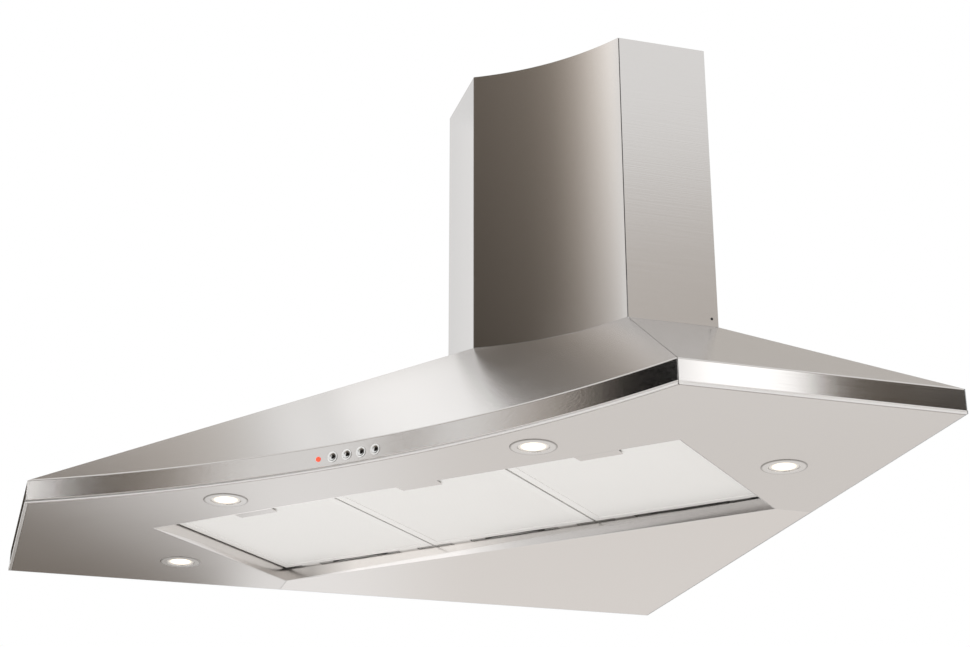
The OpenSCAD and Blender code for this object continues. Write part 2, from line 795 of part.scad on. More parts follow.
module chimney_upper() {
    color("lightgray") placed() flue_sheet(upper_in, upper_in, upper_z0, upper_top);
}

module chimney_screw_place() {
    rotate([0, 0, -45]) translate([chimney_side, -screw_in, flue_z + screw_up]) children();
}

// An angle bracket in the corner between a chimney side and the wall
bracket_arm = 30;
bracket_reach = 28;
module flue_bracket(d, w, z0, h) {
    for (m = [0, 1]) mirror([m, 0, 0]) rotate([0, 0, -45])
        translate([chimney_side - d - sheet_t - seat, -w - sheet_t - seat, z0]) {
            translate([-bracket_arm, -sheet_t, 0]) cube([bracket_arm, sheet_t, h]);
            translate([-sheet_t, -bracket_reach, 0]) cube([sheet_t, bracket_reach, h]);
        }
}

module chimney_bracket_lower() {
    color("gray") placed() difference() {
        flue_bracket(0, 0, slope_top, 2 * screw_up);
        for (m = [0, 1]) mirror([m, 0, 0]) chimney_screw_place()
            rod_x(screw_d + 2 * seat, -return_w, return_w);
    }
}

module chimney_bracket_upper() {
    color("gray") placed() flue_bracket(upper_in, upper_in, upper_top - 2 * bracket_arm, bracket_arm);
}

module chimney_screws() {
    color("black") placed() for (m = [0, 1]) mirror([m, 0, 0]) chimney_screw_place() {
        rod_x(screw_d, -4 * sheet_t, 0);
        rod_x(2 * screw_d, 0, screw_d / 4);
    }
}

canopy_front_skin();
canopy_left_skin();
canopy_right_skin();
back_plate_left();
back_plate_right();
underside_panel();
underside_rear_panel();
filter_recess_frame();
canopy_top_plate();
blower_scroll();
blower_side_left();
blower_side_right();
motor();
motor_bracket();
outlet_spigot();
damper_pin();
control_box();
button_bezels();
indicator_lens();
junction_box();
cable_gland();
capacitor();
lamp_transformer();
lamp_bezel(lamp_places[0]);  // lamp_bezel_front_left
lamp_bezel(lamp_places[1]);  // lamp_bezel_front_right
lamp_bezel(lamp_places[2]);  // lamp_bezel_rear_left
lamp_bezel(lamp_places[3]);  // lamp_bezel_rear_right
lamp_lens(lamp_places[0]);  // lamp_lens_front_left
lamp_lens(lamp_places[1]);  // lamp_lens_front_right
lamp_lens(lamp_places[2]);  // lamp_lens_rear_left
lamp_lens(lamp_places[3]);  // lamp_lens_rear_right
lamp_housings();
chimney_lower();
chimney_bracket_lower();
filter_leaf_springs();
frame_nuts();
blower_screws();
chimney_screws();
filter_frame(-filter_step);  // filter_frame_left
filter_frame(0);  // filter_frame_middle
filter_frame(filter_step);  // filter_frame_right
filter_mesh(-filter_step);  // filter_mesh_left
filter_mesh(0);  // filter_mesh_middle
filter_mesh(filter_step);  // filter_mesh_right
filter_latch(-filter_step);  // filter_latch_left
filter_latch(0);  // filter_latch_middle
filter_latch(filter_step);  // filter_latch_right
impeller();
motor_shaft();
damper_flap_front();
damper_flap_rear();
push_button(button_xs[0]);  // button_lamp
push_button(button_xs[1]);  // button_stop
push_button(button_xs[2]);  // button_slow
push_button(button_xs[3]);  // button_fast
chimney_upper();
chimney_bracket_upper();
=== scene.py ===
import math

import bmesh
import bpy
from mathutils import Matrix, Vector

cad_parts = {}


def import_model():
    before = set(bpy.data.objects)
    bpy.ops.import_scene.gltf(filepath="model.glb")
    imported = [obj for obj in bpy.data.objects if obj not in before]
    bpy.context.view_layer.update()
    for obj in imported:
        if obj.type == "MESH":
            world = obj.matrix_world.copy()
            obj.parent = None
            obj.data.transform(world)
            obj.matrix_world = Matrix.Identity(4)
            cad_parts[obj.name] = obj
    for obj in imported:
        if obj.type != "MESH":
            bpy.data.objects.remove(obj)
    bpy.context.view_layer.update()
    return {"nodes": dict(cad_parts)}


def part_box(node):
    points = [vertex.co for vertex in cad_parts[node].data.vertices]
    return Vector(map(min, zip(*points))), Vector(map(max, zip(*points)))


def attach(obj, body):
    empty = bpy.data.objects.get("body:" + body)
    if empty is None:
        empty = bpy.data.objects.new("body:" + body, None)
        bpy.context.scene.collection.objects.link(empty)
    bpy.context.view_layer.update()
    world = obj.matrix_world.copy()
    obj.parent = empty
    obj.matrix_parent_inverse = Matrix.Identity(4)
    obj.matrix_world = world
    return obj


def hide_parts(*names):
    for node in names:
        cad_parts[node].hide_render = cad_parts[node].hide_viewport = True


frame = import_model()
scene = bpy.context.scene

# Driving sizes of the hood, in metres, as the frame has them
WALL_SIDE = 1.000
END_SIDE = 0.353
FRONT_HOLLOW = 0.070
HEM_H = 0.0043
HEM_OUT = 0.001
BAND_H = 0.0304
SLOPE_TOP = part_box("canopy_front_skin")[1][2]
SHEET = 0.0012
SEAT = 0.0003
PLATE_FRONT = SHEET + SEAT
CHIMNEY_SIDE = 0.334
CHIMNEY_END = 0.148
CHIMNEY_HOLLOW = 0.019
CHIMNEY_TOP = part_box("chimney_lower")[1][2]

# The filters' opening in the middle frame, and the heights between which its strips stand
OPENING_HALF = 0.386
OPENING_REAR = -0.4598
OPENING_FRONT = -0.7818
UPSTAND_LOW, UPSTAND_HIGH = 0.0184, 0.0270

# Directions in degrees about the upright: the middle frame, and the grain of each face's metal
MIDDLE = 45
FRONT_GRAIN, RIGHT_GRAIN, LEFT_GRAIN = 45, 90, 0
ROOT2 = math.sqrt(2)


def mid(x, y, z=0.0):
    """A place in the middle frame, X across and Y towards the corner, turned into the shared frame."""
    return Vector(((x - y) / ROOT2, (x + y) / ROOT2, z))


def walls(a, b):
    """The reverse: x and y of the shared frame, turned into the middle frame."""
    return ((a + b) / ROOT2, (b - a) / ROOT2)


def mirrored(p):
    """The same place on the other side of the middle plane."""
    return Vector((-p.y, -p.x, p.z))


class Hollow:
    """A concave front: an arc between two end faces that stand square to the walls."""

    def __init__(self, side, end, hollow):
        self.side = side
        self.half = (side - end) / ROOT2
        self.radius = (self.half**2 + hollow**2) / (2 * hollow)
        self.centre_y = -(side + end) / ROOT2 + hollow - self.radius
        angle = math.asin(self.half / self.radius)
        lean = math.sin(angle) - 1 / ROOT2
        self.mitre = lean / (1 - math.sin(angle) / ROOT2 + math.cos(angle) / ROOT2)

    def point(self, inset, share):
        """On the arc, from share -1 at its left end to 1 at its right end."""
        r = self.radius + inset
        a = math.asin((self.half + inset * self.mitre) / r) * share
        return (r * math.sin(a), self.centre_y + r * math.cos(a))

    def side_point(self, inset, share, gap):
        """On the right end face, from the mitre at share 0 to the wall at share 1."""
        hip = self.point(inset, 1.0)
        wall = walls(self.side - inset, -PLATE_FRONT)
        start = (hip[0] + gap / ROOT2, hip[1] + gap / ROOT2)
        return tuple(s + (w - s) * share for s, w in zip(start, wall))


band = Hollow(WALL_SIDE, END_SIDE, FRONT_HOLLOW)
flue = Hollow(CHIMNEY_SIDE, CHIMNEY_END, CHIMNEY_HOLLOW)


# Camera, fitted to the photograph
EYE = (2.7533, -1.0951, -0.7110)
YAW, PITCH, ROLL = math.radians(-73.34), math.radians(22.43), math.radians(-0.13)
FOCAL = 69.39


def make_camera():
    data = bpy.data.cameras.new("camera")
    data.sensor_width = 36.0
    data.sensor_fit = "HORIZONTAL"
    data.lens = FOCAL
    data.clip_end = 100.0
    cam = bpy.data.objects.new("camera", data)
    scene.collection.objects.link(cam)
    level = math.cos(PITCH)
    look = Vector((math.sin(YAW) * level, math.cos(YAW) * level, math.sin(PITCH)))
    right = Vector((math.cos(YAW), -math.sin(YAW), 0.0))
    up = right.cross(look)
    turned_right = right * math.cos(ROLL) + up * math.sin(ROLL)
    turned_up = up * math.cos(ROLL) - right * math.sin(ROLL)
    axes = Matrix((turned_right, turned_up, -look)).transposed()
    cam.matrix_world = Matrix.Translation(EYE) @ axes.to_4x4()
    scene.camera = cam


make_camera()


class Socket:
    """Shader maths: a node's output that takes part in Python expressions."""

    def __init__(self, shade, out):
        self.shade = shade
        self.out = out

    def maths(self, operation, a, b):
        return self.shade.node("ShaderNodeMath", {"operation": operation}, {0: a, 1: b})

    def __add__(self, other):
        return self.maths("ADD", self, other)

    def __sub__(self, other):
        return self.maths("SUBTRACT", self, other)

    def __rsub__(self, other):
        return self.maths("SUBTRACT", other, self)

    def __mul__(self, other):
        return self.maths("MULTIPLY", self, other)

    def __truediv__(self, other):
        return self.maths("DIVIDE", self, other)


class Shade:
    """One material or world and its nodes."""

    def __init__(self, owner):
        owner.use_nodes = True
        self.tree = owner.node_tree
        self.tree.nodes.clear()

    def node(self, kind, settings=None, inputs=None, out=0):
        made = self.tree.nodes.new(kind)
        for name, value in (settings or {}).items():
            if name == "stops":
                self.set_stops(made.color_ramp.elements, value)
            else:
                setattr(made, name, value)
        for name, value in (inputs or {}).items():
            self.put(made.inputs[name], value)
        return Socket(self, made.outputs[out]) if made.outputs else None

    def set_stops(self, points, stops):
        ends = [points[0], points[1]]
        for point, (spot, tone) in zip(ends, (stops[0], stops[-1])):
            point.position = spot
            point.color = (*tone, 1.0)
        for spot, tone in stops[1:-1]:
            points.new(spot).color = (*tone, 1.0)

    def put(self, socket, value):
        if isinstance(value, Socket):
            self.tree.links.new(value.out, socket)
        elif isinstance(value, (tuple, list)) and len(value) == 3 and socket.type == "RGBA":
            socket.default_value = (*value, 1.0)
        else:
            socket.default_value = value

    def place(self, scale, turn=0):
        """Object coordinates turned about the upright axis, then scaled."""
        coords = self.node("ShaderNodeTexCoord", out="Object")
        if turn:
            inputs = {"Vector": coords, "Angle": math.radians(-turn)}
            coords = self.node("ShaderNodeVectorRotate", {"rotation_type": "Z_AXIS"}, inputs)
        return self.node("ShaderNodeMapping", inputs={"Vector": coords, "Scale": scale})

    def axes(self, vector):
        """The first two coordinates of a vector."""
        return [self.node("ShaderNodeSeparateXYZ", inputs={0: vector}, out=axis) for axis in (0, 1)]

    def noise(self, vector, scale=1.0, detail=2.0, rough=0.5):
        inputs = {"Vector": vector, "Scale": scale, "Detail": detail, "Roughness": rough}
        return self.node("ShaderNodeTexNoise", inputs=inputs)

    def grain(self, scale):
        """Noise that is as fine in every direction."""
        return self.noise(self.place((scale, scale, scale)))

    def hairlines(self, turn):
        """Noise drawn out into long lines along one direction."""
        return self.noise(self.place((6.0, 900.0, 900.0), turn), 1.0, 3.0, 0.6)

    def mix(self, share, dark, light):
        inputs = {"Factor": share, "A": dark, "B": light}
        return self.node("ShaderNodeMix", {"data_type": "RGBA"}, inputs, out="Result")

    def ramp(self, share, stops):
        return self.node("ShaderNodeValToRGB", {"stops": stops}, {0: share})

    def bump(self, height, strength, distance):
        inputs = {"Height": height, "Strength": strength, "Distance": distance}
        return self.node("ShaderNodeBump", inputs=inputs)

    def surface(self, **sockets):
        inputs = {name.replace("_", " "): value for name, value in sockets.items()}
        self.end("ShaderNodeOutputMaterial", self.node("ShaderNodeBsdfPrincipled", inputs=inputs))

    def end(self, kind, shader):
        self.node(kind, inputs={"Surface": shader})


def material(name):
    made = bpy.data.materials.new(name)
    return made, Shade(made)


def spread(tone, share):
    """A darker and a lighter tone, each that share away from the given one."""
    return tuple(t * (1 - share) for t in tone), tuple(min(1.0, t * (1 + share)) for t in tone)


# How deep the bump of a hairline and of a speck goes, in metres
LINE_DEPTH = 0.0004
SPECK_DEPTH = 0.0003


def brushed(name, tone, rough, turn, hair=0.12, cloud=0.03, **more):
    """Brushed sheet: hairlines along one direction, faint clouding, and a little wear in the gloss."""
    made, shade = material(name)
    lines = shade.hairlines(turn)
    clouds = shade.grain(3.0)
    shade.surface(
        Base_Color=shade.mix(lines * 0.6 + clouds * 0.4, *spread(tone, cloud)),
        Metallic=1.0,
        Roughness=lines * 0.10 + clouds * 0.04 + (rough - 0.07),
        Normal=shade.bump(lines, hair, LINE_DEPTH),
        **more,
    )
    return made


STEEL_TONE = (0.665, 0.647, 0.633)
# Painted shade: the left faces' steel is a darker copy of the same steel
LEFT_SHADED_TONE = (0.545, 0.53, 0.52)
# Painted shade and light: the underside panel is a darker and the rear panel a lighter copy of one steel
PANEL_SHADED_TONE = (0.665, 0.635, 0.613)
REAR_LIT_TONE = (0.74, 0.705, 0.68)
SLOPE_TONE = (0.69, 0.662, 0.638)
SLOPE_EDGE = (0.80, 0.80, 0.80)
# Painted highlight: the rolled hem is lighter than the steel it is rolled from, and the left hem lighter still
HEM_HIGHLIGHT_TONE = (0.80, 0.775, 0.755)
LEFT_HEM_HIGHLIGHT_TONE = (0.96, 0.94, 0.92)
front_steel = brushed("front_steel", STEEL_TONE, 0.13, FRONT_GRAIN)
right_steel = brushed("right_steel", STEEL_TONE, 0.13, RIGHT_GRAIN)
left_steel = brushed("left_steel", LEFT_SHADED_TONE, 0.13, LEFT_GRAIN)
front_slope = brushed("front_slope", SLOPE_TONE, 0.235, FRONT_GRAIN, Specular_Tint=SLOPE_EDGE)
right_slope = brushed("right_slope", SLOPE_TONE, 0.16, RIGHT_GRAIN, Specular_Tint=SLOPE_EDGE)
left_slope = brushed("left_slope", SLOPE_TONE, 0.16, LEFT_GRAIN, Specular_Tint=SLOPE_EDGE)
front_band = brushed("front_band", STEEL_TONE, 0.075, FRONT_GRAIN, hair=0.08)
right_band = brushed("right_band", STEEL_TONE, 0.08, RIGHT_GRAIN, hair=0.08)
left_band = brushed("left_band", STEEL_TONE, 0.10, LEFT_GRAIN, hair=0.08)
front_hem = brushed("front_hem", HEM_HIGHLIGHT_TONE, 0.36, FRONT_GRAIN, hair=0.05)
right_hem = brushed("right_hem", HEM_HIGHLIGHT_TONE, 0.36, RIGHT_GRAIN, hair=0.05)
left_hem = brushed("left_hem", LEFT_HEM_HIGHLIGHT_TONE, 0.30, LEFT_GRAIN, hair=0.05)
panel_steel = brushed("panel_steel", PANEL_SHADED_TONE, 0.22, FRONT_GRAIN, hair=0.05)
rear_steel = brushed("rear_steel", REAR_LIT_TONE, 0.24, FRONT_GRAIN, hair=0.05)


# Finishes round the filters' opening, with painted reflection on the recess walls and painted shade behind the
# filters: their stops run from its left end at 0 to its right end at 1
RECESS_REFLECTION_STOPS = [
    (0.02, 0.74),
    (0.06, 0.60),
    (0.11, 0.80),
    (0.16, 1.0),
    (0.22, 1.0),
    (0.38, 1.0),
    (0.44, 0.82),
    (0.50, 0.68),
    (0.57, 0.60),
    (0.70, 0.56),
    (1.0, 0.55),
]
RECESS_WARMTH = (1.0, 0.965, 0.94)
# Painted shade for the gap behind the filters, dark at its left end and darker again toward the right
GAP_SHADE_STOPS = [
    (0.02, (0.10, 0.095, 0.09)),
    (0.06, (0.62, 0.60, 0.58)),
    (0.45, (0.58, 0.56, 0.54)),
    (0.60, (0.38, 0.36, 0.34)),
    (0.75, (0.15, 0.14, 0.13)),
    (1.0, (0.03, 0.028, 0.026)),
]
RIM_DARK, RIM_LIGHT = (0.83, 0.815, 0.795), (0.86, 0.845, 0.825)
TONGUE_SHADE_LINE = -0.4668


def along_opening(across):
    return across * (1 / (2 * OPENING_HALF)) + 0.5


def painted_recess_reflection():
    """Polished recess walls with a painted reflection, palest left of the middle of their length."""
    made, shade = material("recess_steel")
    across, _ = shade.axes(shade.place((1, 1, 1), MIDDLE))
    stops = [(spot, tuple(tone * part for part in RECESS_WARMTH)) for spot, tone in RECESS_REFLECTION_STOPS]
    lines = shade.hairlines(MIDDLE)
    shade.surface(
        Base_Color=shade.ramp(along_opening(across), stops),
        Metallic=1.0,
        Roughness=lines * 0.08 + 0.16,
        Normal=shade.bump(lines, 0.06, LINE_DEPTH),
    )
    return made


def gap_shade_finish():
    """Matt strip behind the filters, painted with shade that darkens toward the right."""
    made, shade = material("gap_shade_strip")
    across, _ = shade.axes(shade.place((1, 1, 1), MIDDLE))
    shade.surface(Base_Color=shade.ramp(along_opening(across), GAP_SHADE_STOPS), Roughness=0.7)
    return made


def rim_finish():
    """Satin aluminium rim of a filter, its rear tongues darkened with the same painted shade as the gap that
    they lie in.
    """
    made, shade = material("filter_rim")
    across, back = shade.axes(shade.place((1, 1, 1), MIDDLE))
    # Painted shade: behind this line the rim takes the gap strip's dark tones
    tongue = back.maths("GREATER_THAN", back, TONGUE_SHADE_LINE)
    speck = shade.grain(400.0)
    metal = shade.mix(speck, RIM_DARK, RIM_LIGHT)
    shade.surface(
        Base_Color=shade.mix(tongue, metal, shade.ramp(along_opening(across), GAP_SHADE_STOPS)),
        Metallic=(1 - tongue) * 0.55,
        Roughness=tongue * 0.2 + 0.5,
        Normal=shade.bump(speck, 0.03, SPECK_DEPTH),
    )
    return made


recess_steel = painted_recess_reflection()
gap_shade_strip = gap_shade_finish()
filter_rim = rim_finish()


def plain(name, tone, rough, metal=0.0, grain=0.04, scale=400.0, bump=0.05, **more):
    """Moulded, painted or plated stock: fine grain in the colour, the gloss and the surface."""
    made, shade = material(name)
    speck = shade.grain(scale)
    cloud = shade.grain(12.0)
    shade.surface(
        Base_Color=shade.mix(speck * 0.5 + cloud * 0.5, *spread(tone, grain)),
        Metallic=metal,
        Roughness=cloud * 0.08 + (rough - 0.04),
        Normal=shade.bump(speck, bump, SPECK_DEPTH),
        **more,
    )
    return made


zinc = plain("zinc", (0.52, 0.53, 0.54), 0.42, metal=1.0, grain=0.10, scale=60.0)
chrome = plain("chrome", (0.90, 0.90, 0.89), 0.10, metal=1.0, grain=0.01, bump=0.01)
button_steel = plain("button_steel", (0.74, 0.74, 0.73), 0.10, metal=1.0, grain=0.02, bump=0.01)
aluminium = plain("aluminium", (0.845, 0.83, 0.81), 0.50, metal=0.55, grain=0.02, bump=0.03)
spring_blue = plain("spring_blue", (0.30, 0.29, 0.28), 0.35, metal=1.0, grain=0.05)
# Dark plastic of the inner parts, and also the painted shade of the chimney's corner strips
dark_plastic = plain("dark_plastic", (0.035, 0.035, 0.037), 0.45, grain=0.15)
light_plastic = plain("light_plastic", (0.72, 0.72, 0.70), 0.45, grain=0.03)
motor_enamel = plain("motor_enamel", (0.16, 0.17, 0.18), 0.35, grain=0.06)
dark_screw = plain("dark_screw", (0.05, 0.05, 0.05), 0.4, metal=1.0, grain=0.05)
screw_steel = plain("screw_steel", (0.35, 0.35, 0.35), 0.35, metal=1.0, grain=0.05)
shaft_steel = plain("shaft_steel", (0.60, 0.60, 0.60), 0.20, metal=1.0, grain=0.02)
RED_GLOW = {"Emission_Color": (1.0, 0.08, 0.03), "Emission_Strength": 0.55}
lens_red = plain("lens_red", (0.80, 0.07, 0.03), 0.2, grain=0.05, **RED_GLOW)


# Lamps: their stops run from the middle at 0 to the rim at 1
BEZEL_STOPS = [
    (0.0, (0.70, 0.675, 0.655)),
    (0.90, (0.72, 0.695, 0.675)),
    (0.96, (0.38, 0.36, 0.34)),
    (1.0, (0.30, 0.28, 0.26)),
]
GLASS_STOPS = [
    (0.0, (0.95, 0.94, 0.90)),
    (0.62, (0.92, 0.89, 0.82)),
    (0.80, (0.62, 0.60, 0.57)),
    (1.0, (0.58, 0.56, 0.54)),
]
GLOW_STOPS = [
    (0.0, (1.0, 0.99, 0.95)),
    (0.56, (1.0, 0.985, 0.93)),
    (0.72, (0.72, 0.56, 0.36)),
    (0.84, (0.10, 0.085, 0.07)),
    (1.0, (0.04, 0.035, 0.03)),
]


def from_middle(shade, node):
    """How far a point of a round piece is from its middle: 0 there, 1 at the rim."""
    low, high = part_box(node)
    middle = tuple((a + b) / 2 for a, b in zip(low, high))
    spots = {0: shade.place((1, 1, 1)), 1: middle}
    away = shade.node("ShaderNodeVectorMath", {"operation": "SUBTRACT"}, spots)
    length = shade.node("ShaderNodeVectorMath", {"operation": "LENGTH"}, {0: away}, out="Value")
    return shade.noise(away, 300.0) * 0.02 + length / ((high[0] - low[0]) / 2) - 0.01


def lamp_rim(node):
    """Satin trim ring with a shadowed outer edge."""
    made, shade = material(node + "_satin")
    out = from_middle(shade, node)
    shade.surface(Base_Color=shade.ramp(out, BEZEL_STOPS), Metallic=1.0, Roughness=out * 0.1 + 0.2)
    return made


def lit_lens(node):
    """Frosted glass over a lamp: white over most of it, warm and dimmer in a ring at the rim."""
    made, shade = material(node + "_glass")
    out = from_middle(shade, node)
    shade.surface(
        Base_Color=shade.ramp(out, GLASS_STOPS),
        Roughness=out * 0.1 + 0.25,
        Emission_Color=shade.ramp(out, GLOW_STOPS),
        Emission_Strength=1.3,
    )
    return made


STRAND_LEAN = 32
WEAVE_DARK, WEAVE_LIGHT = (0.81, 0.795, 0.775), (0.88, 0.865, 0.845)


def expanded_mesh():
    """Fine aluminium mesh: a tight weave of strands over a pale pad."""
    made, shade = material("filter_weave")
    bands = {"wave_type": "BANDS", "bands_direction": "X"}
    strands = []
    for lean in (STRAND_LEAN, -STRAND_LEAN):
        spots = shade.place((1.0, 1.0, 1.0), MIDDLE + lean)
        inputs = {"Vector": spots, "Scale": 180.0, "Distortion": 0.6, "Detail": 1.0}
        strands.append(shade.node("ShaderNodeTexWave", bands, inputs, out="Fac"))
    weave = strands[0] * strands[1]
    cloud = shade.grain(8.0)
    shade.surface(
        Base_Color=shade.mix(weave * 0.7 + cloud * 0.3, WEAVE_DARK, WEAVE_LIGHT),
        Metallic=0.55,
        Roughness=cloud * 0.06 + 0.48,
        Normal=shade.bump(weave, 0.12, LINE_DEPTH),
    )
    return made


filter_weave = expanded_mesh()


# Pieces
SMOOTH_UP_TO = math.radians(35)
SKIN_DEPTH = SHEET * 0.9
EDGE_R = 0.0003


def to_object(name, bm, paint, body="hood", stands_for=()):
    """A finished piece on its body, smooth but for its open rims and its sharp edges."""
    mesh = bpy.data.meshes.new(name)
    bm.edges.index_update()
    rims = [edge.index for edge in bm.edges if edge.is_boundary]
    bm.to_mesh(mesh)
    bm.free()
    piece = bpy.data.objects.new(name, mesh)
    scene.collection.objects.link(piece)
    mesh.materials.append(paint)
    for face in mesh.polygons:
        face.use_smooth = True
    mesh.set_sharp_from_angle(angle=SMOOTH_UP_TO)
    for rim in rims:
        mesh.edges[rim].use_edge_sharp = True
    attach(piece, body)
    if stands_for:
        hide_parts(*stands_for)
    return piece


def sheet(columns, rows, place, outward):
    """A grid laid out by place(u, v), with its faces turned to the outward direction."""
    bm = bmesh.new()
    bmesh.ops.create_grid(bm, x_segments=columns, y_segments=rows, size=1)
    for v in bm.verts:
        v.co = place((v.co.x + 1) / 2, (v.co.y + 1) / 2)
    bm.normal_update()
    if sum(f.normal.dot(outward) * f.calc_area() for f in bm.faces) < 0:
        bmesh.ops.reverse_faces(bm, faces=bm.faces[:])
    return bm


def thicken(piece):
    """Sheet metal behind the outer face."""
    wall = piece.modifiers.new("wall", "SOLIDIFY")
    wall.thickness = SKIN_DEPTH
    wall.offset = -1.0
    wall.use_even_offset = True


def rounded(piece, width=EDGE_R, segments=2, angle=30.0):
    edge = piece.modifiers.new("edge", "BEVEL")
    edge.width = width
    edge.segments = segments
    edge.limit_method = "ANGLE"
    edge.angle_limit = math.radians(angle)
    edge.harden_normals = True


# Section of the canopy's skin, from the hem's inner return up to the top of the slope
HEM_STEPS = 8
HIP_GAP = 0.0012
BAND_EDGE = 0.0003
FRONT_COLUMNS = 144
SIDE_COLUMNS = 12
SLOPE_SHARES = (0.002, 0.006, 0.02, 0.05, 0.1, 0.2, 0.3, 0.4, 0.5, 0.6, 0.7, 0.8, 0.9, 1.0)


def hem_row(step):
    """The rolled hem: half a round from the underside, out to its widest and back to the band."""
    turn = math.pi * step / HEM_STEPS
    return (0.0, HEM_OUT * (1 - math.sin(turn)), HEM_H * (1 - math.cos(turn)) / 2)


# Rows of share of the way to the chimney, inset from the outline, and height; two make the return
skin_rows = [
    (0.0, 0.0044, 0.0006),
    (0.0, 0.0030, 0.0001),
    *(hem_row(step) for step in range(HEM_STEPS + 1)),
    (0.0, HEM_OUT, HEM_H + 0.0006),
    (0.0, HEM_OUT, (HEM_H + BAND_H) / 2),
    (0.0, HEM_OUT, BAND_H - 0.0016),
    (0.0, HEM_OUT, BAND_H - 0.0010),
    (0.0, HEM_OUT + 0.0002, BAND_H - 0.0004),
    (0.0, HEM_OUT + 0.0006, BAND_H - 0.0001),
    *((share, HEM_OUT, BAND_H + (SLOPE_TOP - BAND_H) * share) for share in SLOPE_SHARES),
]
LAST_ROW = len(skin_rows) - 1


def skin_point(v, share, side, gap=0.0):
    """On the front skin, or on the right side's skin, at a height v and a share of the width."""
    blend, inset, z = skin_rows[round(v * LAST_ROW)]
    if blend == 0.0:
        p = band.side_point(inset, share, gap) if side else band.point(inset, share)
        return mid(p[0], p[1], z)
    low = band.side_point(HEM_OUT, share, gap) if side else band.point(HEM_OUT, share)
    top = flue.side_point(0.0, share, gap) if side else flue.point(0.0, share)
    return mid(low[0] + (top[0] - low[0]) * blend, low[1] + (top[1] - low[1]) * blend, z)


def skin(name, node, columns, place, outward, paints):
    """One skin of the canopy, with its slope, band and hem each in their own metal."""
    bm = sheet(columns, LAST_ROW, place, outward)
    piece = to_object(name, bm, paints[0], stands_for=[node])
    for paint in paints[1:]:
        piece.data.materials.append(paint)
    for face in piece.data.polygons:
        face.material_index = 2 if face.center.z < HEM_H else 1 if face.center.z < BAND_H - BAND_EDGE else 0
    thicken(piece)


def front_place(u, v):
    return skin_point(v, 2 * u - 1, False)


def right_place(u, v):
    return skin_point(v, u, True, HIP_GAP)


def left_place(u, v):
    return mirrored(right_place(u, v))


FRONT_PAINTS = (front_slope, front_band, front_hem)
RIGHT_PAINTS = (right_slope, right_band, right_hem)
LEFT_PAINTS = (left_slope, left_band, left_hem)
skin("canopy_front", "canopy_front_skin", FRONT_COLUMNS, front_place, mid(0, -1, 0.5), FRONT_PAINTS)
skin("canopy_side_right", "canopy_right_skin", SIDE_COLUMNS, right_place, Vector((1, 0, 0.5)), RIGHT_PAINTS)
skin("canopy_side_left", "canopy_left_skin", SIDE_COLUMNS, left_place, Vector((0, -1, 0.5)), LEFT_PAINTS)


# Chimney: front and two side sheets with a fine joint at each corner
CORNER_GAP = 0.0014
RETURN_W = 0.018
FLUE_COLUMNS = 64


def chimney_part(name, columns, place, outward, paint, stands_for=()):
    bm = sheet(columns, 1, place, outward)
    piece = to_object(name, bm, paint, stands_for=stands_for)
    thicken(piece)
    rounded(piece)


def chimney_height(v):
    return SLOPE_TOP + (CHIMNEY_TOP - SLOPE_TOP) * v


def chimney_front(u, v):
    p = flue.point(0.0, 2 * u - 1)
    return mid(p[0], p[1], chimney_height(v))


def chimney_right(u, v):
    """From the front's joint to the wall, then a narrow return along the wall."""
    start = flue.side_point(0.0, 0.0, CORNER_GAP)
    folds = [start, walls(CHIMNEY_SIDE, 0.0), walls(CHIMNEY_SIDE - RETURN_W, 0.0)]
    return mid(*folds[round(2 * u)], chimney_height(v))


def chimney_left(u, v):
    return mirrored(chimney_right(u, v))


chimney_part("chimney_front", FLUE_COLUMNS, chimney_front, mid(0, -1), front_steel, ["chimney_lower"])
chimney_part("chimney_side_right", 2, chimney_right, Vector((1, 0, 0)), right_steel)
chimney_part("chimney_side_left", 2, chimney_left, Vector((0, -1, 0)), left_steel)


# Inner chimney section: one folded sheet with a narrow return along each wall
INNER_LOW, INNER_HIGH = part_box("chimney_upper")
INNER_IN = CHIMNEY_SIDE - INNER_HIGH[0]


def inner_section():
    arc = [flue.point(INNER_IN, 2 * step / FLUE_COLUMNS - 1) for step in range(FLUE_COLUMNS + 1)]
    side = [walls(CHIMNEY_SIDE - INNER_IN - inward, -INNER_IN) for inward in (0.0, RETURN_W)]
    folds = [(-x, y) for x, y in reversed(side)] + arc + side
    last = len(folds) - 1
    rise = INNER_HIGH[2] - INNER_LOW[2]
    bm = sheet(last, 1, lambda u, v: mid(*folds[round(u * last)], INNER_LOW[2] + rise * v), mid(0, -1))
    piece = to_object("chimney_inner", bm, front_steel, "chimney_top", ["chimney_upper"])
    piece.data.materials.append(right_steel)
    piece.data.materials.append(left_steel)
    for face in piece.data.polygons:
        face.material_index = 1 if face.normal.x > 0.9 else 2 if face.normal.y < -0.9 else 0
    thicken(piece)
    rounded(piece)


inner_section()


# Round pieces, spun from a half section of (radius, height along the outward axis)
SPIN_STEPS = 40
MERGE = 0.00001


def spun(name, section, place, outward, paint, body="hood", stands_for=()):
    bm = bmesh.new()
    corners = [bm.verts.new((r, 0, h)) for r, h in section]
    edges = [bm.edges.new(pair) for pair in zip(corners, corners[1:])]
    bmesh.ops.spin(
        bm,
        geom=corners + edges,
        cent=(0, 0, 0),
        axis=(0, 0, 1),
        angle=math.tau,
        steps=SPIN_STEPS,
        use_merge=True,
    )
    bmesh.ops.remove_doubles(bm, verts=bm.verts, dist=MERGE)
    bmesh.ops.recalc_face_normals(bm, faces=bm.faces)
    stand = Vector(outward).to_track_quat("Z", "Y").to_matrix().to_4x4()
    bmesh.ops.transform(bm, matrix=Matrix.Translation(place) @ stand, verts=bm.verts)
    to_object(name, bm, paint, body, stands_for)


